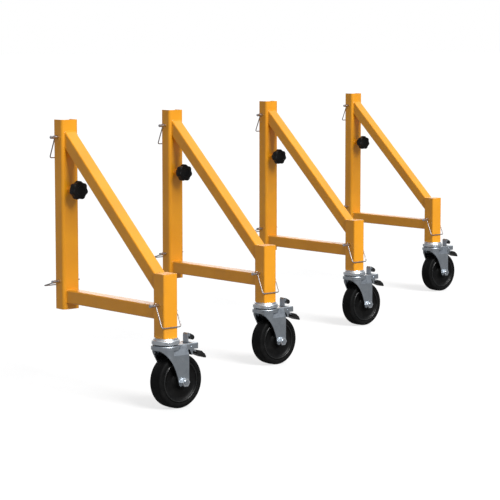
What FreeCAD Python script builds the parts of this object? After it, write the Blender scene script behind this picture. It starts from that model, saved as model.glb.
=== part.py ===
"""Set of four rolling-scaffold outriggers, each on a locking swivel caster.

One outrigger is a welded steel frame: a channel post that straddles a scaffold upright, a diagonal
brace, a bottom rail and a caster leg. A star knob clamps the post, two wire-lock pins hold it, and a
third pin keeps the caster's stem in the leg. The four outriggers are alike and stand parallel to each
other in a staggered row.

Millimetres. +Z is up with the floor at 0, +X points outward from post to caster, +Y runs along the row.
Each outrigger is drawn in its own frame, with the outer face of its post web at x = 0 and its middle
plane at y = 0, and is then moved to its place in the row.
"""
import FreeCAD
import Part
import math
import os

from FreeCAD import Vector

# ---------------------------------------------------------------- driving dimensions
# Row
UNIT_COUNT = 4
ROW_STEP_X = -298.0          # from the first outrigger to the second
ROW_STEP_Y = 561.0
ROW_STEP_GROWTH = 0.149      # each gap is this much of a step longer than the one before

# Channel post
POST_WIDTH = 47.6
POST_DEPTH = 32.0
POST_HEIGHT = 457.2
POST_WALL = 3.0
POST_CORNER = 7.0
POST_BOTTOM = 191.5

# Square tubes
TUBE = 31.75
TUBE_WALL = 2.0
TUBE_CORNER = 3.5
LEG = 40.0
LEG_WALL = 2.5
LEG_CORNER = 4.0
LEG_BOTTOM = 166.0
LEG_TOP = 312.5
LEG_END_PLATE = 3.0
REACH = 346.0                # post web to the back face of the leg
RAIL_BOTTOM = 207.0
BRACE_TOP_AT_POST = 621.5

# Wire-lock pins
PIN_DIAMETER = 8.0
PIN_HEAD_END = -45.5
PIN_TIP_GAP = 0.3             # pin tip to the wire that passes it
WIRE = 3.0
POST_BAIL_SPAN = 64.0
LEG_BAIL_SPAN = 55.0
BAIL_ARM = 55.0
BAIL_STUB = 5.5
BAIL_TIP_OVERRUN = 5.0
BAIL_CORNER = 5.0
RUNNING_CLEARANCE = 0.05     # radial, every turning fit
POST_PIN_DEPTH = 18.0        # post web to the axis of a post pin
UPPER_PIN_HEIGHT = 607.0
LOWER_PIN_HEIGHT = 259.0
LEG_PIN_HEIGHT = 241.0
# Bail rest angles, from straight down towards +X
UPPER_BAIL_ANGLE = -23.8
LOWER_BAIL_ANGLE = -74.0
LEG_BAIL_ANGLE = 23.8

# Star knob and its screw
KNOB_HEIGHT = 481.0
KNOB_DIAMETER = 46.0
KNOB_LOBES = 7
KNOB_BACK = 24.0             # post web to the back of the knob's head
KNOB_HEAD = 18.0
KNOB_NECK = 24.0
KNOB_NECK_START = 10.0       # post web to the end of the knob's neck
KNOB_SOCKET = 12.0           # how far the screw runs into the head
SCREW = 10.0
SCREW_HOLE_GAP = 0.5         # radial, screw in the web's hole
SCREW_INSIDE = 8.0           # how far the screw stands through the web
NUT_ACROSS_FLATS = 17.0
NUT_HEIGHT = 8.0

# Caster
WHEEL_DIAMETER = 127.0
WHEEL_WIDTH = 38.0
HUB_WIDTH = 52.0
HUB_BOSS = 32.0
TYRE_INNER = 100.0
TRAIL = 29.0
AXLE = 12.0
AXLE_HEX = 19.0              # across the flats of the axle bolt's head and nut
AXLE_HEAD = 7.0
AXLE_NUT = 8.0
STEM_DIAMETER = 31.75
STEM_LENGTH = 105.0
STEM_PIN_GAP = 0.4           # radial, lock pin in the stem
KINGPIN = 12.0
CAP_DIAMETER = 64.0
CAP_BOTTOM = 151.0
CAP_LIP = 2.5
CROWN_TOP = 149.0
CROWN_PLATE = 3.5
CROWN_SKIRT = 135.0
CROWN_FRONT_SKIRT = 139.0    # the skirt is shallower round the disc than along the tail
CROWN_DIAMETER = 67.0
CROWN_WALL = 3.0
CROWN_LIP = 3.0              # radius rolled along the crown's top edge
TAIL_LENGTH = 83.0
TAIL_WIDTH = 42.0
TAIL_CORNER = 9.0
TAIL_BLEND = 16.0
FORK_INSIDE = 56.0
FORK_WALL = 3.0
SHOULDER_SKIRT = 126.0       # the shoulders slope from the tail's sides out to here on the cheeks
CHEEK_FRONT = -29.0          # front of a cheek where it leaves the crown
CHEEK_WAIST_Y = -0.5         # a point on the cheek's curved front edge
CHEEK_WAIST_Z = 103.0
CHEEK_HALF = 14.75           # half its width at the axle
CHEEK_BOTTOM = 54.5
CHEEK_CORNER = 6.0
BALL = 6.8
BALL_CIRCLE = 48.0
BALL_COUNT = 16
BALL_GAP = 0.25              # above and below each ball
BRAKE_PIVOT = 5.0
BRAKE_PIVOT_Y = 60.0
BRAKE_PIVOT_Z = 140.0
BRAKE_BARREL = 9.0
BRAKE_WIDTH = 26.0
BRAKE_NECK = 16.0            # width of the neck and the release tab
BRAKE_SLOT = 19.0

# ---------------------------------------------------------------- worked out from them
SWIVEL_X = REACH + LEG / 2
AXLE_HEIGHT = WHEEL_DIAMETER / 2
BRACE_DROP = BRACE_TOP_AT_POST - LEG_TOP
BRACE_ANGLE = math.atan2(BRACE_DROP, REACH)
X_AXIS = Vector(1, 0, 0)
Y_AXIS = Vector(0, 1, 0)
Z_AXIS = Vector(0, 0, 1)


# ---------------------------------------------------------------- shape helpers
def cylinder(radius, length, base, direction):
    return Part.makeCylinder(radius, length, base, direction)


def box(x_range, y_range, z_range):
    size = [high - low for low, high in (x_range, y_range, z_range)]
    return Part.makeBox(size[0], size[1], size[2], Vector(x_range[0], y_range[0], z_range[0]))


def rounded_rectangle(width, depth, radius):
    """A closed wire round the origin in the XY plane: width along X, depth along Y."""
    half_x = width / 2
    half_y = depth / 2
    edges = []
    corners = [(1, 1, 0), (-1, 1, 90), (-1, -1, 180), (1, -1, 270)]
    ends = []
    for sign_x, sign_y, start in corners:
        centre = Vector(sign_x * (half_x - radius), sign_y * (half_y - radius), 0)
        arc = Part.Edge(Part.Circle(centre, Z_AXIS, radius), math.radians(start), math.radians(start + 90))
        edges.append(arc)
        ends.append((arc.valueAt(arc.FirstParameter), arc.valueAt(arc.LastParameter)))
    outline = []
    for index, arc in enumerate(edges):
        following = (index + 1) % len(edges)
        outline.append(arc)
        outline.append(Part.makeLine(ends[index][1], ends[following][0]))
    return Part.Wire(Part.__sortEdges__(outline))


def square_tube(size, wall, corner, length):
    """A tube standing on the XY plane."""
    outer = Part.Face(rounded_rectangle(size, size, corner))
    inner = Part.Face(rounded_rectangle(size - 2 * wall, size - 2 * wall, corner - wall * 0.7))
    return outer.cut(inner).extrude(Vector(0, 0, length))


def plate(outline, thickness, start):
    """A flat plate across the X axis, from its outline of (y, z) points."""
    corners = [Vector(start, y, z) for y, z in outline]
    return Part.Face(Part.makePolygon(corners + corners[:1])).extrude(Vector(thickness, 0, 0))


def hexagon(across_flats, length, base, direction):
    """A hexagonal prism along direction, which is the X axis either way."""
    radius = across_flats / math.sqrt(3)
    angles = [math.radians(60 * turn) for turn in range(6)]
    corners = [base + Vector(0, radius * math.cos(a), radius * math.sin(a)) for a in angles]
    prism = Part.Face(Part.makePolygon(corners + corners[:1])).extrude(direction * length)
    reach = cylinder(radius * 0.985, length, base, direction)
    return prism.common(reach)


def turned(profile, axis_point, axis):
    """A solid of revolution from a closed polygon of points."""
    face = Part.Face(Part.makePolygon(profile + profile[:1]))
    return face.revolve(axis_point, axis, 360)


# ---------------------------------------------------------------- welded frame
def post():
    """A channel, web outward and open to the back, with its two pin holes and the screw hole."""
    outer = Part.Face(rounded_rectangle(2 * POST_DEPTH, POST_WIDTH, POST_CORNER))
    inner = Part.Face(rounded_rectangle(2 * (POST_DEPTH - POST_WALL), POST_WIDTH - 2 * POST_WALL,
                                        POST_CORNER - POST_WALL))
    ring = outer.cut(inner).extrude(Vector(0, 0, POST_HEIGHT))
    front_half = box((0, POST_DEPTH), (-POST_WIDTH, POST_WIDTH), (0, POST_HEIGHT))
    channel = ring.common(front_half)
    channel.translate(Vector(-POST_DEPTH, 0, POST_BOTTOM))
    hole = PIN_DIAMETER / 2 + RUNNING_CLEARANCE
    for height in (UPPER_PIN_HEIGHT, LOWER_PIN_HEIGHT):
        start = Vector(-POST_PIN_DEPTH, -POST_WIDTH, height)
        channel = channel.cut(cylinder(hole, 2 * POST_WIDTH, start, Y_AXIS))
    inside = Vector(-2 * POST_WALL, 0, KNOB_HEIGHT)
    screw_hole = cylinder(SCREW / 2 + SCREW_HOLE_GAP, 4 * POST_WALL, inside, X_AXIS)
    return channel.cut(screw_hole)


def rail():
    """The bottom tube, from the post's web to the back of the leg."""
    tube = square_tube(TUBE, TUBE_WALL, TUBE_CORNER, REACH)
    tube.rotate(Vector(0, 0, 0), Y_AXIS, 90)
    tube.translate(Vector(0, 0, RAIL_BOTTOM + TUBE / 2))
    return tube


def brace():
    """The diagonal tube, cut upright at both ends. Its top line ends at the top of the leg."""
    length = math.hypot(REACH, BRACE_DROP)
    spare = TUBE * 2
    tube = square_tube(TUBE, TUBE_WALL, TUBE_CORNER, length + 2 * spare)
    tube.translate(Vector(0, 0, -spare))
    tube.rotate(Vector(0, 0, 0), Y_AXIS, 90 + math.degrees(BRACE_ANGLE))
    half = TUBE / 2
    tube.translate(Vector(-half * math.sin(BRACE_ANGLE), 0, BRACE_TOP_AT_POST - half * math.cos(BRACE_ANGLE)))
    between = box((0, REACH), (-TUBE, TUBE), (0, POST_BOTTOM + POST_HEIGHT))
    return tube.common(between)


def caster_leg():
    """The upright tube that takes the caster's stem, closed by a welded plate at the top."""
    tube = square_tube(LEG, LEG_WALL, LEG_CORNER, LEG_TOP - LEG_BOTTOM - LEG_END_PLATE)
    end_plate = Part.Face(rounded_rectangle(LEG, LEG, LEG_CORNER)).extrude(Vector(0, 0, LEG_END_PLATE))
    end_plate.translate(Vector(0, 0, LEG_TOP - LEG_BOTTOM - LEG_END_PLATE))
    leg = tube.fuse(end_plate).removeSplitter()
    leg.translate(Vector(SWIVEL_X, 0, LEG_BOTTOM))
    hole = PIN_DIAMETER / 2 + RUNNING_CLEARANCE
    return leg.cut(cylinder(hole, 2 * LEG, Vector(SWIVEL_X, -LEG, LEG_PIN_HEIGHT), Y_AXIS))


# ---------------------------------------------------------------- clamp
def clamp_nut():
    base = Vector(0, 0, KNOB_HEIGHT)
    nut = hexagon(NUT_ACROSS_FLATS, NUT_HEIGHT, base, X_AXIS)
    return nut.cut(cylinder(SCREW / 2 + RUNNING_CLEARANCE, NUT_HEIGHT, base, X_AXIS))


def clamp_knob():
    """The lobed head with its neck, moulded round the head of a screw."""
    head_start = Vector(KNOB_BACK, 0, KNOB_HEIGHT)
    neck_start = Vector(KNOB_NECK_START, 0, KNOB_HEIGHT)
    lobe_radius = KNOB_DIAMETER * 0.15
    lobe_circle = KNOB_DIAMETER / 2 - lobe_radius
    head = cylinder(lobe_circle, KNOB_HEAD, head_start, X_AXIS)
    for lobe in range(KNOB_LOBES):
        angle = math.radians(90 + 360 / KNOB_LOBES * lobe)
        centre = head_start + Vector(0, lobe_circle * math.cos(angle), lobe_circle * math.sin(angle))
        head = head.fuse(cylinder(lobe_radius, KNOB_HEAD, centre, X_AXIS))
    neck = cylinder(KNOB_NECK / 2, KNOB_BACK - KNOB_NECK_START, neck_start, X_AXIS)
    head = head.fuse(neck).removeSplitter()
    screw_end = KNOB_BACK + KNOB_SOCKET
    socket = cylinder(SCREW / 2, screw_end - KNOB_NECK_START, neck_start, X_AXIS)
    screw_start = -POST_WALL - SCREW_INSIDE
    screw = cylinder(SCREW / 2, screw_end - screw_start, Vector(screw_start, 0, KNOB_HEIGHT), X_AXIS)
    return Part.makeCompound([head.cut(socket), screw])


# ---------------------------------------------------------------- wire-lock pins
def lock_pin(x, z, angle, span):
    """A pin along Y, chamfered at both ends, with a cross hole for the wire near its head end."""
    radius = PIN_DIAMETER / 2
    tip_end = span / 2 - WIRE / 2 - PIN_TIP_GAP
    pin = cylinder(radius, tip_end - PIN_HEAD_END, Vector(0, PIN_HEAD_END, 0), Y_AXIS)
    end_edges = [edge for edge in pin.Edges if isinstance(edge.Curve, Part.Circle)]
    pin = pin.makeChamfer(1.2, end_edges)
    hole = cylinder(WIRE / 2 + RUNNING_CLEARANCE, 4 * radius, Vector(0, -span / 2, -2 * radius), Z_AXIS)
    pin = pin.cut(hole)
    pin.rotate(Vector(0, 0, 0), Y_AXIS, -angle)
    pin.translate(Vector(x, 0, z))
    return pin


def bail(x, z, angle, span):
    """Square wire bail: through the pin's head end, round the tube, and past the pin's tip."""
    near = -span / 2
    far = span / 2
    bend = BAIL_CORNER
    turn = bend * (1 - math.sqrt(0.5))
    start = Vector(0, near, BAIL_STUB)
    down_end = Vector(0, near, -BAIL_ARM + bend)
    first_mid = Vector(0, near + turn, -BAIL_ARM + turn)
    across_start = Vector(0, near + bend, -BAIL_ARM)
    across_end = Vector(0, far - bend, -BAIL_ARM)
    second_mid = Vector(0, far - turn, -BAIL_ARM + turn)
    up_start = Vector(0, far, -BAIL_ARM + bend)
    finish = Vector(0, far, BAIL_TIP_OVERRUN)
    path = Part.Wire([
        Part.makeLine(start, down_end),
        Part.Arc(down_end, first_mid, across_start).toShape(),
        Part.makeLine(across_start, across_end),
        Part.Arc(across_end, second_mid, up_start).toShape(),
        Part.makeLine(up_start, finish),
    ])
    section = Part.Wire([Part.makeCircle(WIRE / 2, start, Z_AXIS)])
    wire = path.makePipeShell([section], True, True)
    wire.rotate(Vector(0, 0, 0), Y_AXIS, -angle)
    wire.translate(Vector(x, 0, z))
    return wire


# ---------------------------------------------------------------- caster, drawn round its swivel axis
def caster_stem():
    """The stem in the leg and the kingpin under it, with the kingpin's riveted head."""
    stem = cylinder(STEM_DIAMETER / 2, STEM_LENGTH, Vector(0, 0, LEG_BOTTOM), Z_AXIS)
    top_edge = [edge for edge in stem.Edges if edge.BoundBox.ZMin > LEG_BOTTOM + STEM_LENGTH - 1]
    stem = stem.makeChamfer(2.0, top_edge)
    head_top = CROWN_TOP - CROWN_PLATE - 0.3
    kingpin = cylinder(KINGPIN / 2, LEG_BOTTOM - head_top + 1, Vector(0, 0, head_top), Z_AXIS)
    head = cylinder(KINGPIN * 0.75, 4.0, Vector(0, 0, head_top - 4.0), Z_AXIS)
    stem = stem.fuse([kingpin, head]).removeSplitter()
    pin_hole = cylinder(PIN_DIAMETER / 2 + STEM_PIN_GAP, 2 * LEG, Vector(0, -LEG, LEG_PIN_HEIGHT), Y_AXIS)
    return stem.cut(pin_hole)


def raceway_cap():
    """The fixed upper race, a stepped and rounded cup that covers the balls."""
    outer = CAP_DIAMETER / 2
    bore = KINGPIN / 2 + RUNNING_CLEARANCE
    race = CROWN_TOP + BALL + 2 * BALL_GAP
    profile = [
        Vector(bore, 0, LEG_BOTTOM),
        Vector(outer * 0.80, 0, LEG_BOTTOM),
        Vector(outer * 0.86, 0, LEG_BOTTOM - 1.0),
        Vector(outer * 0.90, 0, LEG_BOTTOM - 4.0),
        Vector(outer * 0.97, 0, LEG_BOTTOM - 5.5),
        Vector(outer, 0, LEG_BOTTOM - 7.5),
        Vector(outer, 0, CAP_BOTTOM + 1.0),
        Vector(outer - 1.0, 0, CAP_BOTTOM),
        Vector(outer - CAP_LIP, 0, CAP_BOTTOM),
        Vector(outer - CAP_LIP, 0, race),
        Vector(bore, 0, race),
    ]
    return turned(profile, Vector(0, 0, 0), Z_AXIS)


def raceway_balls():
    balls = []
    for index in range(BALL_COUNT):
        angle = 2 * math.pi * index / BALL_COUNT
        centre = Vector(BALL_CIRCLE / 2 * math.cos(angle), BALL_CIRCLE / 2 * math.sin(angle),
                        CROWN_TOP + BALL / 2 + BALL_GAP)
        balls.append(Part.makeSphere(BALL / 2, centre))
    return Part.makeCompound(balls)


def upright_edges(shape, y_low, y_high):
    """The straight upright edges that stand between two Y values."""
    straight = [edge for edge in shape.Edges if isinstance(edge.Curve, Part.Line)]
    upright = [edge for edge in straight if edge.BoundBox.ZLength > edge.BoundBox.DiagonalLength * 0.9]
    return [edge for edge in upright if y_low < edge.CenterOfMass.y < y_high]


def crown_block(inset, bottom, top):
    """The crown as a block: a disc with a parallel tail towards +Y, blended into it."""
    disc = cylinder(CROWN_DIAMETER / 2 - inset, top - bottom, Vector(0, 0, bottom), Z_AXIS)
    half = TAIL_WIDTH / 2 - inset
    tail = box((-half, half), (0, TAIL_LENGTH - inset), (bottom, top))
    block = disc.fuse(tail).removeSplitter()
    block = block.makeFillet(TAIL_CORNER - inset, upright_edges(block, TAIL_LENGTH / 2, TAIL_LENGTH + 1))
    return block.makeFillet(TAIL_BLEND, upright_edges(block, 10.0, TAIL_LENGTH / 2))


def shoulder(inset, end, low):
    """The part of the pressing between tail and cheeks, back from the swivel axis: sloping sides."""
    half = FORK_INSIDE / 2 + FORK_WALL - inset
    top_half = TAIL_WIDTH / 2 - inset
    top = CROWN_TOP - CROWN_LIP / 2 - inset
    bend = SHOULDER_SKIRT - inset / 2
    outline = [(-half, low), (-half, bend), (-top_half, top), (top_half, top), (half, bend), (half, low)]
    section = [Vector(x, 0, z) for x, z in outline]
    return Part.Face(Part.makePolygon(section + section[:1])).extrude(Vector(0, end, 0))


def cheek_plate(start, thickness):
    """A plate with the side view of a cheek: wide at the crown, curving in to the axle."""
    top = CROWN_FRONT_SKIRT + 1.0
    front = TRAIL - CHEEK_HALF
    back = TRAIL + CHEEK_HALF
    bend = CHEEK_CORNER
    turn = bend * (1 - math.sqrt(0.5))
    low = CHEEK_BOTTOM

    def at(y, z):
        return Vector(start, y, z)

    wire = Part.Wire([
        Part.Arc(at(CHEEK_FRONT, top), at(CHEEK_WAIST_Y, CHEEK_WAIST_Z), at(front, low + bend)).toShape(),
        Part.Arc(at(front, low + bend), at(front + turn, low + turn), at(front + bend, low)).toShape(),
        Part.makeLine(at(front + bend, low), at(back - bend, low)),
        Part.Arc(at(back - bend, low), at(back - turn, low + turn), at(back, low + bend)).toShape(),
        Part.makeLine(at(back, low + bend), at(back, top)),
        Part.makeLine(at(back, top), at(CHEEK_FRONT, top)),
    ])
    return Part.Face(wire).extrude(Vector(thickness, 0, 0))


def cheeks():
    """Both flat cheeks, and the round wall that joins them to the crown in front of the swivel axis."""
    outside = FORK_INSIDE / 2 + FORK_WALL
    sides = shoulder(0.0, TAIL_LENGTH, 0)
    flat = [cheek_plate(start, FORK_WALL).common(sides) for start in (FORK_INSIDE / 2, -outside)]
    height = CROWN_TOP - CROWN_PLATE - CHEEK_WAIST_Z
    base = Vector(0, 0, CHEEK_WAIST_Z)
    apron = cylinder(outside, height, base, Z_AXIS)
    apron = apron.cut(cylinder(outside - FORK_WALL, height, base, Z_AXIS))
    apron = apron.common(cheek_plate(-outside, 2 * outside))
    return flat + [apron.cut(box((-outside, outside), (0, TAIL_LENGTH), (0, CROWN_TOP)))]


def pressed_fork():
    """Crown, tail, shoulders and cheeks in one pressing, with its holes."""
    pan = crown_block(0.0, CROWN_SKIRT, CROWN_TOP)
    rim = [edge for edge in pan.Edges if edge.BoundBox.ZMin > CROWN_TOP - 0.01]
    pan = pan.makeFillet(CROWN_LIP, rim)
    under_plate = CROWN_TOP - CROWN_PLATE
    hollow = crown_block(CROWN_WALL, CROWN_SKIRT - 1.0, under_plate)
    wide = CROWN_DIAMETER
    around_disc = box((-wide, wide), (-wide, CROWN_DIAMETER / 2), (0, CROWN_FRONT_SKIRT))
    back = TRAIL + CHEEK_HALF
    outside = FORK_INSIDE / 2 + FORK_WALL
    inside_shoulders = shoulder(FORK_WALL, back + 1.0, SHOULDER_SKIRT - 2.0)
    inside_tail = TAIL_WIDTH / 2 - CROWN_WALL
    under_tail = box((-inside_tail, inside_tail), (-1.0, TAIL_LENGTH), (0, under_plate))
    shoulders = shoulder(0.0, back, SHOULDER_SKIRT - 1.0).cut(inside_shoulders).cut(under_tail)
    fork = pan.cut(hollow).cut(around_disc).cut(inside_shoulders)
    fork = fork.fuse([shoulders] + cheeks())
    kingpin_hole = cylinder(KINGPIN / 2 + RUNNING_CLEARANCE, 30.0, Vector(0, 0, CROWN_SKIRT), Z_AXIS)
    neck_slot = box((-BRAKE_SLOT / 2, BRAKE_SLOT / 2), (BRAKE_PIVOT_Y - 9.5, BRAKE_PIVOT_Y + 7.0),
                    (CROWN_TOP - 8.0, CROWN_TOP + 5.0))
    across = 2 * outside + 20.0
    axle_hole = cylinder(AXLE / 2, across, Vector(-across / 2, TRAIL, AXLE_HEIGHT), X_AXIS)
    pivot_hole = cylinder(BRAKE_PIVOT / 2, across, Vector(-across / 2, BRAKE_PIVOT_Y, BRAKE_PIVOT_Z), X_AXIS)
    for hole in (kingpin_hole, neck_slot, axle_hole, pivot_hole):
        fork = fork.cut(hole)
    return fork.removeSplitter()


def caster_fork():
    """The pressed fork, its axle bolt with nut, and the pivot of the brake lever."""
    outside = FORK_INSIDE / 2 + FORK_WALL
    bolt_length = 2 * outside + AXLE_NUT + 2.0
    bolt = cylinder(AXLE / 2, bolt_length, Vector(-outside, TRAIL, AXLE_HEIGHT), X_AXIS)
    head = hexagon(AXLE_HEX, AXLE_HEAD, Vector(-outside - AXLE_HEAD, TRAIL, AXLE_HEIGHT), X_AXIS)
    nut = hexagon(AXLE_HEX, AXLE_NUT, Vector(outside, TRAIL, AXLE_HEIGHT), X_AXIS).cut(bolt)
    pivot_length = TAIL_WIDTH + 3.0
    pivot = cylinder(BRAKE_PIVOT / 2, pivot_length, Vector(-pivot_length / 2, BRAKE_PIVOT_Y, BRAKE_PIVOT_Z),
                     X_AXIS)
    return Part.makeCompound([pressed_fork(), bolt.fuse(head).removeSplitter(), nut, pivot])


def caster_wheel():
    """Moulded hub with a bore, and a tyre round it."""
    hub_radius = TYRE_INNER / 2
    boss_radius = HUB_BOSS / 2
    half = WHEEL_WIDTH / 2
    boss = HUB_WIDTH / 2
    bore = AXLE / 2 + RUNNING_CLEARANCE
    right = [(boss, bore), (boss, boss_radius - 1.5), (boss - 1.5, boss_radius),
             (half - 3.0, boss_radius + 3.0), (half - 5.0, boss_radius + 8.0), (half - 5.0, hub_radius - 6.0),
             (half - 0.5, hub_radius - 3.0), (half - 0.5, hub_radius)]
    left = [(-along, radius) for along, radius in reversed(right)]
    hub_profile = [Vector(along, 0, radius) for along, radius in right + left]
    hub = turned(hub_profile, Vector(0, 0, 0), X_AXIS)
    tyre = cylinder(WHEEL_DIAMETER / 2, WHEEL_WIDTH, Vector(-half, 0, 0), X_AXIS)
    tyre = tyre.makeFillet(5.0, [edge for edge in tyre.Edges if isinstance(edge.Curve, Part.Circle)])
    tyre = tyre.cut(cylinder(hub_radius, WHEEL_WIDTH + 2, Vector(-half - 1, 0, 0), X_AXIS))
    wheel = Part.makeCompound([hub, tyre])
    wheel.translate(Vector(0, TRAIL, AXLE_HEIGHT))
    return wheel


def brake_lever():
    """Rocking lever: a bent steel tongue with a shoe over the tyre, and moulded pads on pedal and tab.

    The outlines are the lever's side view, each point a distance (back, up) from its pivot.
    """
    half = BRAKE_WIDTH / 2
    shoe_outline = [(6.0, -20.0), (9.5, -20.0), (9.0, -9.0), (22.0, -16.5), (23.5, -13.5), (4.5, -2.5),
                    (0.5, 2.0), (-4.0, 0.0)]
    neck_outline = [(0.5, 0.0), (0.5, 24.0), (13.0, 17.5), (14.5, 20.5), (2.5, 31.0), (-1.0, 31.5),
                    (-4.0, 27.5), (-4.0, 0.0)]
    pedal_outline = [(18.0, -9.5), (36.0, -14.5), (45.0, -21.0), (49.0, -30.0), (45.5, -31.5), (32.0, -26.0),
                     (19.0, -18.5)]
    tab_outline = [(5.5, 29.5), (17.0, 23.5), (19.0, 19.5), (17.0, 15.0), (13.0, 13.0), (3.5, 18.5)]
    barrel_start = Vector(-half, 0, 0)
    barrel = cylinder(BRAKE_BARREL / 2, BRAKE_WIDTH, barrel_start, X_AXIS)
    pivot_hole = cylinder(BRAKE_PIVOT / 2 + RUNNING_CLEARANCE, BRAKE_WIDTH, barrel_start, X_AXIS)
    shoe = plate(shoe_outline, BRAKE_WIDTH, -half)
    neck = plate(neck_outline, BRAKE_NECK, -BRAKE_NECK / 2)
    tongue = shoe.fuse([neck, barrel]).cut(pivot_hole).removeSplitter()
    pedal = plate(pedal_outline, BRAKE_WIDTH + 4.0, -half - 2.0).cut(tongue)
    tab = plate(tab_outline, BRAKE_NECK + 2.0, -BRAKE_NECK / 2 - 1.0).cut(tongue)
    lever = Part.makeCompound([tongue, pedal, tab])
    lever.translate(Vector(0, BRAKE_PIVOT_Y, BRAKE_PIVOT_Z))
    return lever


# ---------------------------------------------------------------- assembly
def on_swivel(shape):
    shape.translate(Vector(SWIVEL_X, 0, 0))
    return shape


def unit_offset(index):
    """Where outrigger number index, from 0, stands in the row."""
    steps = index + ROW_STEP_GROWTH * index * (index - 1) / 2
    return Vector(ROW_STEP_X * steps, ROW_STEP_Y * steps, 0)


def unit_nodes():
    """Every separate piece of one outrigger, by name."""
    back = -POST_PIN_DEPTH
    return {
        "post": post(),
        "brace": brace(),
        "rail": rail(),
        "caster_leg": caster_leg(),
        "clamp_knob": clamp_knob(),
        "upper_pin": lock_pin(back, UPPER_PIN_HEIGHT, UPPER_BAIL_ANGLE, POST_BAIL_SPAN),
        "upper_pin_bail": bail(back, UPPER_PIN_HEIGHT, UPPER_BAIL_ANGLE, POST_BAIL_SPAN),
        "lower_pin": lock_pin(back, LOWER_PIN_HEIGHT, LOWER_BAIL_ANGLE, POST_BAIL_SPAN),
        "lower_pin_bail": bail(back, LOWER_PIN_HEIGHT, LOWER_BAIL_ANGLE, POST_BAIL_SPAN),
        "leg_pin": lock_pin(SWIVEL_X, LEG_PIN_HEIGHT, LEG_BAIL_ANGLE, LEG_BAIL_SPAN),
        "leg_pin_bail": bail(SWIVEL_X, LEG_PIN_HEIGHT, LEG_BAIL_ANGLE, LEG_BAIL_SPAN),
        "caster_fork": on_swivel(caster_fork()),
        "caster_wheel": on_swivel(caster_wheel()),
        "brake_lever": on_swivel(brake_lever()),
    }


def shared_pieces():
    """Small fixed pieces that are alike on all four outriggers, one node for each kind."""
    return {
        "clamp_nuts": clamp_nut(),
        "caster_stems": on_swivel(caster_stem()),
        "raceway_caps": on_swivel(raceway_cap()),
        "raceway_balls": on_swivel(raceway_balls()),
    }


def moved(shape, offset):
    copy = shape.copy()
    copy.translate(offset)
    return copy


def build():
    """All nodes of the set, moved so that the middle of its footprint is the origin."""
    nodes = {}
    offsets = [unit_offset(index) for index in range(UNIT_COUNT)]
    for name, shape in unit_nodes().items():
        for number, offset in enumerate(offsets, start=1):
            nodes[f"{name}_{number}"] = moved(shape, offset)
    for name, shape in shared_pieces().items():
        copies = [moved(shape, offset) for offset in offsets]
        solids = [solid for copy in copies for solid in copy.Solids]
        nodes[name] = Part.makeCompound(solids)
    limits = Part.makeCompound(list(nodes.values())).optimalBoundingBox(False)
    middle = Vector(-limits.Center.x, -limits.Center.y, 0)
    return {name: moved(shape, middle) for name, shape in nodes.items()}, middle


def main():
    os.makedirs("parts", exist_ok=True)
    nodes, _ = build()
    for name, shape in nodes.items():
        shape.exportStep(f"parts/{name}.step")


main()
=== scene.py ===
"""Looks of the scaffold outrigger set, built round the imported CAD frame. Metres, in the CAD's own frame.

Places and main sizes are read from the CAD nodes' boxes. The other sizes are constants: close to the CAD's,
or this script's own for what the CAD leaves out. Each outrigger gets its own tyre, hub, star knob, brake
lever, weld beads and axle fittings by the same loop. The CAD tubes, wires and pressings keep their shapes and
get better materials.
"""
import math

import bmesh
import bpy
from mathutils import Matrix, Vector


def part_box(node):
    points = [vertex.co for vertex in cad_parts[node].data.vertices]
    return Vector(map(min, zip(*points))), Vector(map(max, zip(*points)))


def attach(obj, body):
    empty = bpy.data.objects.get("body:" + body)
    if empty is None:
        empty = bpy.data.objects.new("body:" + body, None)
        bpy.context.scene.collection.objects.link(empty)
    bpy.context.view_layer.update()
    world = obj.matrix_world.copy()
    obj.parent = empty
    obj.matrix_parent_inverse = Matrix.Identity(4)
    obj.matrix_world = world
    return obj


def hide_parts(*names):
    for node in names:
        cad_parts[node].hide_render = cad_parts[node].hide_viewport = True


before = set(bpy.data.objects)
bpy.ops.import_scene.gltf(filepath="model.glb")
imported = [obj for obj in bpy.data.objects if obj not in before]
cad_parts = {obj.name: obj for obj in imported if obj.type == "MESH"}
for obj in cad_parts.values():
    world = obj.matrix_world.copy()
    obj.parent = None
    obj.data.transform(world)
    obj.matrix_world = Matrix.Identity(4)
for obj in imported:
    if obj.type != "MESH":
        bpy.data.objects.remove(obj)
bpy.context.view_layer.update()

UNITS = (1, 2, 3, 4)
TURN = 2 * math.pi
MM = 0.001

# Wheel and axle, as the CAD has them
TYRE_WIDTH = 38 * MM
HUB_RADIUS = 50 * MM
FORK_OUTSIDE = 62 * MM
AXLE_BOLT = 6.0 * MM         # radius
# Axle fittings: hexagons a little larger than the CAD's, so that they cover them, and washers that it lacks
AXLE_HEX = 19.4 * MM         # across flats
AXLE_NUT = 8.2 * MM          # height
AXLE_HEAD = 7.2 * MM
WASHER_RADIUS = 10.3 * MM
WASHER = 1.6 * MM            # thickness, and the height of the chamfer on nut and head

# Brake lever
BRAKE_HALF = 13 * MM         # half the width of its shoe
NECK_HALF = 8 * MM           # and of its neck
BARREL_BORE = 2.6 * MM       # radius
BARREL_RADIUS = 4.5 * MM
RIB_RADIUS = 0.75 * MM
PEDAL_REACH = 49 * MM        # from the brake's pivot back to the end of its pedal
TAB_HEIGHT = 31.5 * MM       # and up to the top of its release tab

# Star knob and its screw
KNOB_RADIUS = 23.0 * MM
KNOB_HEAD = 18 * MM
KNOB_NECK_START = 10 * MM    # from the post's web
KNOB_LOBES = 7
SCREW_END = 16 * MM          # from the post's web
SCREW_RADIUS = 5 * MM
SCREW_PITCH = 1.5 * MM

# Welds
BEAD_RADIUS = 1.5 * MM
BEAD_RIPPLE = 2.4 * MM
BEAD_CORNER = 3 * MM

ON_AXIS = 0.001 * MM         # radius where a turned shape closes

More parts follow.
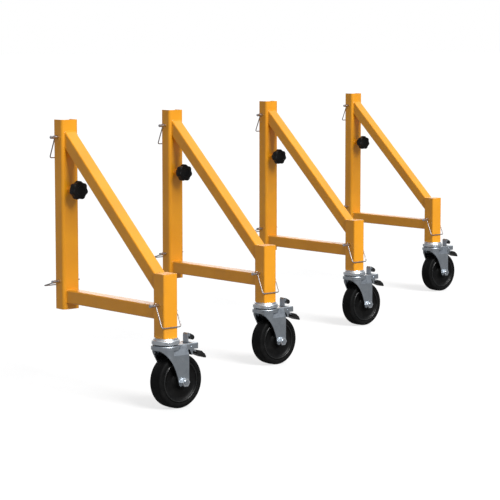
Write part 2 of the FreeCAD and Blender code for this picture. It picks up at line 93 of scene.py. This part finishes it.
# Camera, in metres from the first post, in degrees, and its lens in millimetres
CAMERA_OUTWARD = 3.7915      # along X, from the post's web
CAMERA_SIDEWAYS = 2.6864     # along -Y, from its middle
CAMERA_HEIGHT = 0.8526
CAMERA_DOWN = 6.385          # below level
CAMERA_TURN = 49.366         # round Z
CAMERA_LENS = 139.1

FLOOR_REACH = 60.0           # metres from the middle to each side
FLOOR_GAP = 0.0002           # metres under the wheels


# ---------------------------------------------------------------- where things are
class Unit:
    """The places of one outrigger, read from its CAD nodes."""

    def __init__(self, number):
        self.number = number
        post_low, post_high = self.box("post")
        self.web = post_high[0]
        self.middle = (post_low[1] + post_high[1]) / 2
        leg_low, leg_high = self.box("caster_leg")
        self.leg_back = leg_low[0]
        self.swivel = (leg_low[0] + leg_high[0]) / 2
        self.leg_top = leg_high[2]
        wheel_low, wheel_high = self.box("caster_wheel")
        self.wheel = Vector([(low + high) / 2 for low, high in zip(wheel_low, wheel_high)])
        self.wheel_radius = (wheel_high[2] - wheel_low[2]) / 2
        self.rail_low, self.rail_high = self.box("rail")
        self.brace_high = self.box("brace")[1]
        self.knob_low, self.knob_high = self.box("clamp_knob")
        self.hub_half = (wheel_high[0] - wheel_low[0]) / 2
        nuts_low, nuts_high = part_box("clamp_nuts")
        self.knob_axis = (nuts_low[2] + nuts_high[2]) / 2
        brake_high = self.box("brake_lever")[1]
        self.pivot = Vector((self.swivel, brake_high[1] - PEDAL_REACH, brake_high[2] - TAB_HEIGHT))

    def box(self, name):
        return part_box(f"{name}_{self.number}")

    def name(self, piece):
        return f"{piece}_{self.number}"


# ---------------------------------------------------------------- material building blocks
def principled(name):
    material = bpy.data.materials.new(name)
    material.use_nodes = True
    nodes = material.node_tree.nodes
    return material, nodes, material.node_tree.links, nodes["Principled BSDF"]


def object_coordinates(nodes):
    return nodes.new("ShaderNodeTexCoord").outputs["Object"]


def noise(nodes, links, scale, detail=3.0, stretch=None):
    """Noise in metres of the object; stretch scales it along X, Y and Z for a drawn or brushed grain."""
    texture = nodes.new("ShaderNodeTexNoise")
    texture.inputs["Scale"].default_value = scale
    texture.inputs["Detail"].default_value = detail
    source = object_coordinates(nodes)
    if stretch:
        mapping = nodes.new("ShaderNodeMapping")
        mapping.inputs["Scale"].default_value = stretch
        links.new(source, mapping.inputs["Vector"])
        source = mapping.outputs["Vector"]
    links.new(source, texture.inputs["Vector"])
    return texture.outputs["Fac"]


def ramp(nodes, links, value, low, high, start=0.35, end=0.65):
    """value between start and end becomes a colour between low and high."""
    colours = nodes.new("ShaderNodeValToRGB")
    colours.color_ramp.elements[0].position = start
    colours.color_ramp.elements[0].color = (*low, 1.0)
    colours.color_ramp.elements[1].position = end
    colours.color_ramp.elements[1].color = (*high, 1.0)
    links.new(value, colours.inputs["Fac"])
    return colours.outputs["Color"]


def grey(level):
    return (level, level, level)


def mixed(nodes, links, factor, first, second):
    """first where factor is 0, second where it is 1. Each is a socket or a colour."""
    mix = nodes.new("ShaderNodeMix")
    mix.data_type = "RGBA"
    links.new(factor, mix.inputs["Factor"])
    for socket, value in ((mix.inputs["A"], first), (mix.inputs["B"], second)):
        if isinstance(value, tuple):
            socket.default_value = (*value, 1.0)
        else:
            links.new(value, socket)
    return mix.outputs["Result"]


def bumped(nodes, links, shader, height, strength, distance):
    """Bumps on shader from a height; distance is their depth in metres."""
    bump = nodes.new("ShaderNodeBump")
    bump.inputs["Strength"].default_value = strength
    bump.inputs["Distance"].default_value = distance
    links.new(height, bump.inputs["Height"])
    links.new(bump.outputs["Normal"], shader.inputs["Normal"])


# ---------------------------------------------------------------- materials
def enamel(name, low, high, wear):
    """Glossy enamel with orange peel, slight mottling and thin grime. wear is how pale rubbed spots are."""
    material, nodes, links, shader = principled(name)
    mottle = ramp(nodes, links, noise(nodes, links, 9.0), low, high)
    grime = ramp(nodes, links, noise(nodes, links, 14.0, 8.0), grey(0), grey(0.35), 0.60, 0.85)
    dusty = mixed(nodes, links, grime, mottle, (0.50, 0.24, 0.05))
    rubbed = ramp(nodes, links, noise(nodes, links, 130.0, 5.0), grey(0), grey(wear), 0.48, 0.64)
    colour = mixed(nodes, links, rubbed, dusty, (0.92, 0.62, 0.30))
    links.new(colour, shader.inputs["Base Color"])
    gloss = ramp(nodes, links, noise(nodes, links, 25.0, 4.0), grey(0.28), grey(0.40))
    links.new(gloss, shader.inputs["Roughness"])
    shader.inputs["Coat Weight"].default_value = 0.25
    shader.inputs["Coat Roughness"].default_value = 0.10
    bumped(nodes, links, shader, noise(nodes, links, 380.0, 2.0), 0.12, 0.0004)
    return material


def zinc(name, low, high, rough_low, rough_high):
    """Bright zinc plating: cool grey, faintly spangled, with fine handling marks."""
    material, nodes, links, shader = principled(name)
    tone = ramp(nodes, links, noise(nodes, links, 60.0, 5.0), low, high)
    links.new(tone, shader.inputs["Base Color"])
    shader.inputs["Metallic"].default_value = 1.0
    rough = ramp(nodes, links, noise(nodes, links, 90.0, 6.0), grey(rough_low), grey(rough_high))
    links.new(rough, shader.inputs["Roughness"])
    scratches = noise(nodes, links, 900.0, 2.0, (1.0, 1.0, 0.08))
    bumped(nodes, links, shader, scratches, 0.02, 0.0002)
    return material


def drawn_steel(name, low, high, roughness):
    """Drawn wire and turned pins: bright, with a fine grain along Y."""
    material, nodes, links, shader = principled(name)
    links.new(ramp(nodes, links, noise(nodes, links, 220.0, 4.0), low, high), shader.inputs["Base Color"])
    shader.inputs["Metallic"].default_value = 1.0
    rough = ramp(nodes, links, noise(nodes, links, 300.0, 3.0), grey(roughness), grey(roughness + 0.12))
    links.new(rough, shader.inputs["Roughness"])
    bumped(nodes, links, shader, noise(nodes, links, 1500.0, 2.0, (1.0, 0.1, 1.0)), 0.15, 0.0001)
    return material


def black_moulding(name, level, roughness, grain_scale, grain_depth, dust=0.12, shine=0.30):
    """Black plastic or rubber with a fine moulded grain and a little dust."""
    material, nodes, links, shader = principled(name)
    base = ramp(nodes, links, noise(nodes, links, 70.0, 4.0), grey(level * 0.7), grey(level * 1.4))
    patches = ramp(nodes, links, noise(nodes, links, 28.0, 6.0), grey(0), grey(dust), 0.55, 0.75)
    links.new(mixed(nodes, links, patches, base, (0.11, 0.105, 0.10)), shader.inputs["Base Color"])
    rough = ramp(nodes, links, noise(nodes, links, 120.0, 4.0), grey(roughness), grey(roughness + 0.15))
    links.new(rough, shader.inputs["Roughness"])
    shader.inputs["Specular IOR Level"].default_value = shine
    bumped(nodes, links, shader, noise(nodes, links, grain_scale, 3.0), 0.25, grain_depth)
    return material


def studio_floor_material():
    """Plain white paper. The camera sees it lifted, and the light that it sends back is held down."""
    material, nodes, links, held_down = principled("studio_floor")
    dim = ramp(nodes, links, noise(nodes, links, 1.5), grey(0.30), grey(0.32))
    links.new(dim, held_down.inputs["Base Color"])
    held_down.inputs["Roughness"].default_value = 0.95
    held_down.inputs["Specular IOR Level"].default_value = 0.0
    paper = nodes.new("ShaderNodeBsdfDiffuse")
    links.new(ramp(nodes, links, noise(nodes, links, 1.5), grey(0.33), grey(0.34)), paper.inputs["Color"])
    lift = nodes.new("ShaderNodeEmission")
    lift.inputs["Strength"].default_value = 0.70
    seen = nodes.new("ShaderNodeAddShader")
    links.new(paper.outputs["BSDF"], seen.inputs[0])
    links.new(lift.outputs["Emission"], seen.inputs[1])
    path = nodes.new("ShaderNodeLightPath")
    mix = nodes.new("ShaderNodeMixShader")
    links.new(path.outputs["Is Camera Ray"], mix.inputs["Fac"])
    links.new(held_down.outputs["BSDF"], mix.inputs[1])
    links.new(seen.outputs["Shader"], mix.inputs[2])
    links.new(mix.outputs["Shader"], nodes["Material Output"].inputs["Surface"])
    return material


ENAMEL = enamel("orange_enamel", (0.82, 0.325, 0.007), (0.89, 0.37, 0.010), 0.0)
ENAMEL_EDGE = enamel("orange_enamel_edge", (0.84, 0.35, 0.02), (0.92, 0.41, 0.03), 0.7)
ZINC = zinc("bright_zinc", (0.42, 0.46, 0.50), (0.48, 0.52, 0.56), 0.27, 0.33)
ZINC_BRIGHT = zinc("polished_zinc", (0.64, 0.68, 0.72), (0.80, 0.83, 0.86), 0.26, 0.34)
PIN_STEEL = drawn_steel("pin_steel", (0.46, 0.46, 0.50), (0.62, 0.62, 0.65), 0.20)
WIRE_STEEL = drawn_steel("spring_wire", (0.28, 0.26, 0.26), (0.42, 0.39, 0.38), 0.32)
KNOB_BLACK = black_moulding("knob_plastic", 0.006, 0.34, 700.0, 0.0003, 0.08, 0.20)
TYRE_BLACK = black_moulding("tyre_rubber", 0.004, 0.50, 500.0, 0.0004, 0.05, 0.10)
HUB_BLACK = black_moulding("hub_plastic", 0.004, 0.32, 600.0, 0.0002, 0.04, 0.14)
RIM_BLACK = black_moulding("hub_rim", 0.006, 0.16, 600.0, 0.0001, 0.04, 0.60)
PAD_BLACK = black_moulding("brake_pad", 0.008, 0.36, 500.0, 0.0003, 0.10, 0.30)


# ---------------------------------------------------------------- mesh building blocks
def add_object(name, mesh_builder, material, smooth_angle=35.0):
    """An object from a bmesh, shaded smooth except across edges sharper than smooth_angle degrees."""
    bmesh.ops.recalc_face_normals(mesh_builder, faces=mesh_builder.faces)
    sharp = math.radians(smooth_angle)
    for face in mesh_builder.faces:
        face.smooth = True
    for edge in mesh_builder.edges:
        edge.smooth = len(edge.link_faces) == 2 and edge.calc_face_angle() < sharp
    mesh = bpy.data.meshes.new(name)
    mesh_builder.to_mesh(mesh)
    mesh_builder.free()
    mesh.materials.append(material)
    piece = bpy.data.objects.new(name, mesh)
    bpy.context.scene.collection.objects.link(piece)
    return piece


def bevelled(piece, width, segments=2, angle=35.0, edge_slot=-1):
    """Eases the edges. edge_slot is the material slot that the new narrow faces take."""
    bevel = piece.modifiers.new("edges", "BEVEL")
    bevel.width = width
    bevel.segments = segments
    bevel.limit_method = "ANGLE"
    bevel.angle_limit = math.radians(angle)
    bevel.harden_normals = True
    bevel.material = edge_slot
    return piece


def along_x(mesh_builder, centre):
    """Turns a shape made round Z to lie round X, and moves it to centre."""
    turn = Matrix.Rotation(math.radians(90), 4, "Y")
    bmesh.ops.transform(mesh_builder, matrix=Matrix.Translation(centre) @ turn, verts=mesh_builder.verts)


def lathe(profile, segments):
    """Turns a closed outline of (radius, height) points round Z, which makes a ring."""
    builder = bmesh.new()
    rings = []
    for step in range(segments):
        angle = TURN * step / segments
        rings.append([builder.verts.new((r * math.cos(angle), r * math.sin(angle), z)) for r, z in profile])
    count = len(profile)
    for step in range(segments):
        here = rings[step]
        following = rings[(step + 1) % segments]
        for index in range(count):
            after = (index + 1) % count
            builder.faces.new((here[index], following[index], following[after], here[after]))
    return builder


def solid_bar(radius, length, easing, segments):
    """A round bar up from the origin, its end edges eased."""
    outline = [(ON_AXIS, 0), (radius, 0), (radius, length), (ON_AXIS, length)]
    return lathe(rounded(outline, easing, 2), segments)


def join(builder, other):
    """Adds the faces of other to builder."""
    spare = bpy.data.meshes.new("spare")
    other.to_mesh(spare)
    other.free()
    builder.from_mesh(spare)
    bpy.data.meshes.remove(spare)


def side_plate(builder, outline, x_range):
    """Adds a plate across X to builder, from its outline of (y, z) points."""
    ends = [[builder.verts.new((x, y, z)) for y, z in outline] for x in x_range]
    for ring in ends:
        builder.faces.new(ring)
    count = len(outline)
    for index in range(count):
        after = (index + 1) % count
        builder.faces.new((ends[0][index], ends[0][after], ends[1][after], ends[1][index]))


def hexagon_profile(across_flats, y, z):
    """Corners of a hexagon round (y, z)."""
    corner = across_flats / math.sqrt(3)
    return [(y + corner * math.cos(TURN * k / 6), z + corner * math.sin(TURN * k / 6)) for k in range(6)]


def rounded(points, radius, steps=3):
    """A closed (radius, height) outline with its corners rounded."""
    outline = []
    count = len(points)
    for index in range(count):
        corner = Vector(points[index])
        before = Vector(points[index - 1]) - corner
        after = Vector(points[(index + 1) % count]) - corner
        reach = min(radius, before.length * 0.45, after.length * 0.45)
        start = corner + before.normalized() * reach
        end = corner + after.normalized() * reach
        for step in range(steps + 1):
            t = step / steps
            outline.append(tuple(start * (1 - t) ** 2 + corner * 2 * t * (1 - t) + end * t ** 2))
    return outline


# ---------------------------------------------------------------- pieces of one outrigger
def tyre(unit):
    """Solid rubber tyre with eased shoulders, a raised sidewall band and a fine parting line."""
    radius = unit.wheel_radius
    half = TYRE_WIDTH / 2
    right = [(HUB_RADIUS, half - 0.6 * MM), (HUB_RADIUS + 2 * MM, half - 0.6 * MM),
             (HUB_RADIUS + 3 * MM, half), (radius - 6.0 * MM, half), (radius - 2.4 * MM, half - 1.4 * MM),
             (radius - 0.6 * MM, half - 4.6 * MM), (radius - 0.2 * MM, 2.0 * MM),
             (radius - 0.2 * MM, 0.5 * MM), (radius, 0.3 * MM)]
    left = [(reach, -along) for reach, along in reversed(right)]
    builder = lathe(rounded(left + right, 1.6 * MM, 3)[::-1], 120)
    along_x(builder, unit.wheel)
    return add_object(unit.name("tyre"), builder, TYRE_BLACK, 50.0)


def hub(unit):
    """The moulded wheel centre: a dished web and a boss."""
    half = TYRE_WIDTH / 2
    boss = unit.hub_half
    face = [(6.1, boss), (13.5, boss), (15.6, boss - 1.4 * MM), (16.4, boss - 5.0 * MM),
            (19.0, half - 1.5 * MM), (24.0, half - 4.6 * MM), (38.0, half - 5.0 * MM),
            (43.0, half - 3.4 * MM), (45.4, half - 1.2 * MM), (49.9, half - 1.2 * MM)]
    near = [(reach * MM, along) for reach, along in face]
    far = [(reach, -along) for reach, along in reversed(near)]
    builder = lathe(rounded(near + far, 1.2 * MM, 3), 120)
    along_x(builder, unit.wheel)
    return add_object(unit.name("hub"), builder, HUB_BLACK, 50.0)


def hub_rims(unit):
    """The glossy rounded ridge that stands against the tyre on both sides of the hub."""
    seat = TYRE_WIDTH / 2 - 1.8 * MM
    ridge = [(45.2 * MM, seat), (45.2 * MM, seat + 1.2 * MM), (46.2 * MM, seat + 2.5 * MM),
             (47.4 * MM, seat + 2.5 * MM), (48.6 * MM, seat + 1.2 * MM), (48.6 * MM, seat)]
    builder = bmesh.new()
    for side in (1, -1):
        join(builder, lathe(rounded([(reach, side * along) for reach, along in ridge], 0.9 * MM, 3), 120))
    along_x(builder, unit.wheel)
    return add_object(unit.name("hub_rims"), builder, RIM_BLACK, 60.0)


def axle_end(unit, name, face, outward, height):
    """Washer and chamfered hexagon against one face of the fork. outward is 1 or -1 along X."""
    y, z = unit.wheel.y, unit.wheel.z
    section = [(AXLE_BOLT, 0.0), (WASHER_RADIUS, 0.0), (WASHER_RADIUS, WASHER), (AXLE_BOLT, WASHER)]
    builder = lathe(rounded(section, 0.5 * MM, 2), 48)
    along_x(builder, Vector((face if outward > 0 else face - WASHER, y, z)))
    ends = (face, face + outward * height)
    middle = ends[0] + outward * (height - WASHER)
    full = hexagon_profile(AXLE_HEX, y, z)
    chamfered = hexagon_profile(AXLE_HEX * 0.88, y, z)
    rings = [[builder.verts.new((x, py, pz)) for py, pz in points]
             for x, points in ((ends[0], full), (middle, full), (ends[1], chamfered))]
    for first, second in zip(rings, rings[1:]):
        for index in range(6):
            after = (index + 1) % 6
            builder.faces.new((first[index], first[after], second[after], second[index]))
    builder.faces.new(rings[0])
    builder.faces.new(rings[-1])
    return bevelled(add_object(unit.name(name), builder, ZINC_BRIGHT, 35.0), 0.5 * MM, 2)


def brake_outline(unit, points):
    """Millimetres (back, up) from the lever's pivot, as places."""
    return [(unit.pivot.y + back * MM, unit.pivot.z + up * MM) for back, up in points]


def brake_steel(unit):
    """The lever's bent steel: shoe with pedal tongue, and neck with release tab, on a bored barrel."""
    builder = bmesh.new()
    shoe = [(6.0, -20.0), (9.5, -20.0), (9.0, -9.0), (22.0, -16.5), (23.5, -13.5), (4.5, -2.5), (0.5, 2.0),
            (-3.0, 0.0)]
    neck = [(0.5, 0.0), (0.5, 24.0), (13.0, 17.5), (14.5, 20.5), (2.5, 31.0), (-1.0, 31.5), (-3.6, 27.5),
            (-3.6, 0.0)]
    x = unit.pivot.x
    side_plate(builder, brake_outline(unit, shoe), (x - BRAKE_HALF, x + BRAKE_HALF))
    side_plate(builder, brake_outline(unit, neck), (x - NECK_HALF, x + NECK_HALF))
    length = 2 * BRAKE_HALF
    section = [(BARREL_BORE, 0), (BARREL_RADIUS, 0), (BARREL_RADIUS, length), (BARREL_BORE, length)]
    barrel = lathe(rounded(section, 0.5 * MM, 2), 32)
    along_x(barrel, unit.pivot - Vector((BRAKE_HALF, 0, 0)))
    join(builder, barrel)
    return bevelled(add_object(unit.name("brake_steel"), builder, ZINC, 35.0), 0.5 * MM, 2)


def brake_pedal(unit):
    """The moulded foot pad. Its ribs are a piece of their own."""
    builder = bmesh.new()
    x = unit.pivot.x
    outline = [(18.5, -9.9), (36.0, -14.7), (44.6, -21.0), (48.6, -29.6), (45.6, -31.0), (32.0, -25.8),
               (19.5, -18.3)]
    half = BRAKE_HALF + 1.6 * MM
    side_plate(builder, brake_outline(unit, outline), (x - half, x + half))
    return bevelled(add_object(unit.name("brake_pedal"), builder, PAD_BLACK, 35.0), 1.6 * MM, 3)


def brake_ribs(unit):
    """Rounded bars that stand on the pedal and on the release tab."""
    builder = bmesh.new()
    rows = [(Vector((21.0, -10.3)), Vector((35.0, -14.1)), 5, BRAKE_HALF),
            (Vector((37.2, -15.2)), Vector((47.6, -26.0)), 4, BRAKE_HALF),
            (Vector((7.5, 28.4)), Vector((16.0, 24.1)), 4, NECK_HALF - 1 * MM)]
    for start, end, count, half in rows:
        for step in range(count):
            back, up = start.lerp(end, step / (count - 1))
            bar = solid_bar(RIB_RADIUS, 2 * half, 0.5 * MM, 12)
            (y, z), = brake_outline(unit, [(back, up)])
            along_x(bar, Vector((unit.pivot.x - half, y, z)))
            join(builder, bar)
    return add_object(unit.name("brake_ribs"), builder, PAD_BLACK, 50.0)


def brake_tab(unit):
    """The moulded cap on the release tab."""
    builder = bmesh.new()
    outline = [(5.5, 29.3), (16.8, 23.3), (18.6, 19.5), (16.8, 15.2), (13.0, 13.3), (4.0, 18.5)]
    half = NECK_HALF + 0.8 * MM
    side_plate(builder, brake_outline(unit, outline), (unit.pivot.x - half, unit.pivot.x + half))
    return bevelled(add_object(unit.name("brake_tab"), builder, PAD_BLACK, 35.0), 1.4 * MM, 3)


def knob(unit):
    """Head with seven shallow lobes, a domed front with a dished centre, and a tapering neck."""
    front = unit.knob_high[0]
    back = front - KNOB_HEAD
    steps = 28 * KNOB_LOBES
    centre = Vector((0, unit.middle, unit.knob_axis))

    def outline(scale, x):
        ring = []
        for step in range(steps):
            angle = TURN * step / steps
            wave = math.cos(KNOB_LOBES * (angle - TURN / 4))
            shaped = math.copysign(abs(wave) ** 0.75, wave)
            reach = KNOB_RADIUS * scale * (0.94 + 0.06 * shaped)
            ring.append((x, centre.y + reach * math.cos(angle), centre.z + reach * math.sin(angle)))
        return ring

    def circle(size, x):
        angles = [TURN * step / steps for step in range(steps)]
        return [(x, centre.y + size * math.cos(angle), centre.z + size * math.sin(angle)) for angle in angles]

    neck_end = unit.web + KNOB_NECK_START
    sections = [
        circle(6.0 * MM, neck_end), circle(10.2 * MM, neck_end), circle(11.0 * MM, neck_end + 0.8 * MM),
        circle(11.6 * MM, back - 4 * MM), circle(13.5 * MM, back - 0.6 * MM),
        outline(0.80, back), outline(0.93, back + 0.6 * MM), outline(0.985, back + 2.2 * MM),
        outline(1.0, back + 5 * MM), outline(1.0, front - 5 * MM), outline(0.985, front - 2.6 * MM),
        outline(0.94, front - 0.9 * MM), outline(0.86, front - 0.1 * MM), circle(13.0 * MM, front),
        circle(11.0 * MM, front - 0.2 * MM), circle(10.2 * MM, front - 1.4 * MM),
        circle(4.0 * MM, front - 1.8 * MM),
    ]
    builder = bmesh.new()
    rings = [[builder.verts.new(point) for point in section] for section in sections]
    for first, second in zip(rings, rings[1:]):
        for step in range(steps):
            after = (step + 1) % steps
            builder.faces.new((first[step], first[after], second[after], second[step]))
    builder.faces.new(rings[0])
    builder.faces.new(rings[-1])
    return add_object(unit.name("star_knob"), builder, KNOB_BLACK, 40.0)


def thread(name, start, length, radius, pitch, material):
    """A screw along +X from start, with a helical thread."""
    builder = bmesh.new()
    segments = 24
    per_turn = 8
    depth = pitch * 0.42
    rows = int(length / pitch * per_turn)
    rings = []
    for row in range(rows + 1):
        x = length * row / rows
        ring = []
        for segment in range(segments):
            phase = (x / pitch - segment / segments) % 1.0
            reach = radius - depth * abs(2 * phase - 1)
            angle = TURN * segment / segments
            ring.append(builder.verts.new((start.x + x, start.y + reach * math.cos(angle),
                                           start.z + reach * math.sin(angle))))
        rings.append(ring)
    for first, second in zip(rings, rings[1:]):
        for segment in range(segments):
            after = (segment + 1) % segments
            builder.faces.new((first[segment], first[after], second[after], second[segment]))
    builder.faces.new(rings[0])
    builder.faces.new(rings[-1])
    return add_object(name, builder, material, 60.0)


def weld_bead(name, corners, radius, ripple):
    """A fillet weld round a closed loop of corners: a tube with overlapping ripples."""
    builder = bmesh.new()
    points = []
    for start, end in zip(corners, corners[1:] + corners[:1]):
        length = (end - start).length
        steps = max(2, int(length / (ripple / 3)))
        points += [start.lerp(end, step / steps) for step in range(steps)]
    count = len(points)
    around = 10
    rings = []
    travelled = 0.0
    for index, point in enumerate(points):
        before = points[index - 1]
        after = points[(index + 1) % count]
        direction = (after - before).normalized()
        side = direction.orthogonal().normalized()
        other = direction.cross(side)
        travelled += (point - before).length
        wave = abs(math.sin(math.pi * travelled / ripple))
        size = radius * (0.84 + 0.20 * wave)
        rings.append([builder.verts.new(point + side * size * math.cos(TURN * k / around)
                                        + other * size * math.sin(TURN * k / around)) for k in range(around)])
    for first, second in zip(rings, rings[1:] + rings[:1]):
        shift = min(range(around), key=lambda k: (second[k].co - first[0].co).length)
        for k in range(around):
            builder.faces.new((first[k], first[(k + 1) % around], second[(k + 1 + shift) % around],
                               second[(k + shift) % around]))
    return add_object(name, builder, ENAMEL, 60.0)


def rounded_loop(x, y_range, z_range, corner):
    """Corners of a loop in a plane across X, its corners cut off."""
    low_y, high_y = y_range
    low_z, high_z = z_range
    flat = [(low_y + corner, low_z), (high_y - corner, low_z),
            (high_y, low_z + corner), (high_y, high_z - corner),
            (high_y - corner, high_z), (low_y + corner, high_z),
            (low_y, high_z - corner), (low_y, low_z + corner)]
    return [Vector((x, y, z)) for y, z in flat]


def frame_welds(unit):
    """Beads round both ends of the rail and of the brace."""
    half = (unit.rail_high[1] - unit.rail_low[1]) / 2
    sides = (unit.middle - half, unit.middle + half)
    rail = (unit.rail_low[2], unit.rail_high[2])
    height = unit.brace_high[2] - unit.leg_top
    reach = unit.leg_back - unit.web
    upright_cut = (rail[1] - rail[0]) * math.hypot(height, reach) / reach
    brace_at_post = (unit.brace_high[2] - upright_cut, unit.brace_high[2])
    brace_at_leg = (unit.leg_top - upright_cut, unit.leg_top - 1 * MM)
    loops = {
        "weld_rail_post": rounded_loop(unit.web, sides, rail, BEAD_CORNER),
        "weld_rail_leg": rounded_loop(unit.leg_back, sides, rail, BEAD_CORNER),
        "weld_brace_post": rounded_loop(unit.web, sides, brace_at_post, BEAD_CORNER),
        "weld_brace_leg": rounded_loop(unit.leg_back, sides, brace_at_leg, BEAD_CORNER),
    }
    return [weld_bead(unit.name(name), loop, BEAD_RADIUS, BEAD_RIPPLE) for name, loop in loops.items()]


# ---------------------------------------------------------------- one outrigger
def keep(node, material, bevel=0.0, edge_material=None):
    """A CAD node that stays, with its own material, eased edges and another material on them."""
    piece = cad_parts[node]
    piece.data.materials.clear()
    piece.data.materials.append(material)
    if edge_material:
        piece.data.materials.append(edge_material)
    if bevel:
        bevelled(piece, bevel, 2, 35.0, 1 if edge_material else -1)
    return piece


def dress(unit):
    """Materials for the CAD nodes of one outrigger, and the pieces that ride on them or stand for them."""
    for name in ("post", "brace", "rail", "caster_leg"):
        keep(unit.name(name), ENAMEL, 0.6 * MM, ENAMEL_EDGE)
    for name in ("upper_pin", "lower_pin", "leg_pin"):
        keep(unit.name(name), PIN_STEEL)
    for name in ("upper_pin_bail", "lower_pin_bail", "leg_pin_bail"):
        keep(unit.name(name), WIRE_STEEL)
    keep(unit.name("caster_fork"), ZINC, 0.8 * MM, ZINC_BRIGHT)
    for weld in frame_welds(unit):
        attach(weld, "frames")
    for piece in (tyre(unit), hub(unit), hub_rims(unit)):
        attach(piece, unit.name("caster_wheel"))
        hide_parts(unit.name("caster_wheel"))
    outside = FORK_OUTSIDE / 2
    for end in (axle_end(unit, "axle_nut", unit.swivel + outside, 1, AXLE_NUT),
                axle_end(unit, "axle_head", unit.swivel - outside, -1, AXLE_HEAD)):
        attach(end, unit.name("caster_fork"))
    for part, slot in ((brake_steel(unit), "brake_steel"), (brake_pedal(unit), "knob_plastic"),
                       (brake_ribs(unit), "knob_plastic"), (brake_tab(unit), "knob_plastic")):
        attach(part, unit.name("brake_lever"))
        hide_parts(unit.name("brake_lever"))
    knob_body = unit.name("clamp_knob")
    head = knob(unit)
    screw_start = Vector((unit.knob_low[0], unit.middle, unit.knob_axis))
    screw_length = unit.web + SCREW_END - unit.knob_low[0]
    screw = thread(unit.name("knob_screw"), screw_start, screw_length,
                   SCREW_RADIUS, SCREW_PITCH, PIN_STEEL)
    for piece, slot in ((head, "knob_plastic"), (screw, "pin_steel")):
        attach(piece, knob_body)
        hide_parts(knob_body)


# ---------------------------------------------------------------- camera, floor and light
def set_camera(first):
    """Seen from the front right, nearly level, with a long lens."""
    camera_data = bpy.data.cameras.new("camera")
    camera_data.sensor_width = 36.0
    camera_data.lens = CAMERA_LENS
    camera_data.clip_end = 100.0
    camera = bpy.data.objects.new("camera", camera_data)
    camera.location = (first.web + CAMERA_OUTWARD, first.middle - CAMERA_SIDEWAYS, CAMERA_HEIGHT)
    camera.rotation_euler = (math.radians(90 - CAMERA_DOWN), 0, math.radians(CAMERA_TURN))
    bpy.context.scene.collection.objects.link(camera)
    bpy.context.scene.camera = camera


def set_floor():
    """Plain paper just under the wheels."""
    mesh = bpy.data.meshes.new("studio_floor")
    signs = ((-1, -1), (1, -1), (1, 1), (-1, 1))
    corners = [(x * FLOOR_REACH, y * FLOOR_REACH, -FLOOR_GAP) for x, y in signs]
    mesh.from_pydata(corners, [], [(0, 1, 2, 3)])
    mesh.materials.append(studio_floor_material())
    floor = bpy.data.objects.new("studio_floor", mesh)
    bpy.context.scene.collection.objects.link(floor)


def sun(name, towards, strength, spread):
    """A distant lamp. towards points from the object to it, and spread is its width in degrees."""
    data = bpy.data.lights.new(name, "SUN")
    data.energy = strength
    data.angle = math.radians(spread)
    light = bpy.data.objects.new(name, data)
    light.rotation_euler = Vector(towards).to_track_quat("Z", "Y").to_euler()
    bpy.context.scene.collection.objects.link(light)


def brightness_towards(nodes, links, direction, dark, bright):
    """0 to 1 for a ray, as the cosine of its angle to direction goes from dark to bright."""
    product = nodes.new("ShaderNodeVectorMath")
    product.operation = "DOT_PRODUCT"
    links.new(nodes.new("ShaderNodeTexCoord").outputs["Generated"], product.inputs[0])
    product.inputs[1].default_value = Vector(direction).normalized()
    return ramp(nodes, links, product.outputs["Value"], grey(0), grey(1), dark, bright)


def room_seen_in_reflections(nodes, links):
    """A grey room with a white ceiling, a white wall behind the row and a soft box above the camera."""
    lit = brightness_towards(nodes, links, (0.0, 0.25, 1.0), 0.72, 0.90)
    wall = ((-0.8, 0.57, 0.12), 0.70, 0.92)
    soft_box = ((0.60, -0.35, 0.65), 0.86, 0.96)
    for direction, dark, bright in (wall, soft_box):
        lighter = nodes.new("ShaderNodeMath")
        lighter.operation = "MAXIMUM"
        links.new(lit, lighter.inputs[0])
        links.new(brightness_towards(nodes, links, direction, dark, bright), lighter.inputs[1])
        lit = lighter.outputs["Value"]
    background = nodes.new("ShaderNodeBackground")
    colour = mixed(nodes, links, lit, (0.24, 0.25, 0.27), grey(1.0))
    links.new(colour, background.inputs["Color"])
    background.inputs["Strength"].default_value = 1.2
    return background


def set_lights():
    """A broad key from the wheels' side, a weak light behind, and a dim room round them. Reflections show a
    brighter room, and the camera sees white."""
    sun("key", (0.79, -0.02, 0.61), 3.35, 30.0)
    sun("back", (-0.8, 0.5, 0.6), 0.6, 40.0)
    world = bpy.data.worlds.new("studio")
    bpy.context.scene.world = world
    world.use_nodes = True
    nodes = world.node_tree.nodes
    links = world.node_tree.links
    room = nodes["Background"]
    room.inputs["Color"].default_value = (0.95, 0.97, 1.0, 1.0)
    room.inputs["Strength"].default_value = 0.34
    backdrop = nodes.new("ShaderNodeBackground")
    backdrop.inputs["Color"].default_value = (1.0, 1.0, 1.0, 1.0)
    backdrop.inputs["Strength"].default_value = 1.0
    path = nodes.new("ShaderNodeLightPath")
    shader = room
    reflected = room_seen_in_reflections(nodes, links)
    for ray, other in (("Is Glossy Ray", reflected), ("Is Camera Ray", backdrop)):
        mix = nodes.new("ShaderNodeMixShader")
        links.new(path.outputs[ray], mix.inputs["Fac"])
        links.new(shader.outputs[0], mix.inputs[1])
        links.new(other.outputs[0], mix.inputs[2])
        shader = mix
    links.new(shader.outputs[0], nodes["World Output"].inputs["Surface"])
    bpy.context.scene.view_settings.view_transform = "Standard"


units = [Unit(number) for number in UNITS]
for unit in units:
    dress(unit)
keep("clamp_nuts", ENAMEL, 0.5 * MM, ENAMEL_EDGE)
keep("caster_stems", ZINC)
keep("raceway_caps", ZINC_BRIGHT, 0.6 * MM)
keep("raceway_balls", PIN_STEEL)
set_camera(units[0])
set_floor()
set_lights()
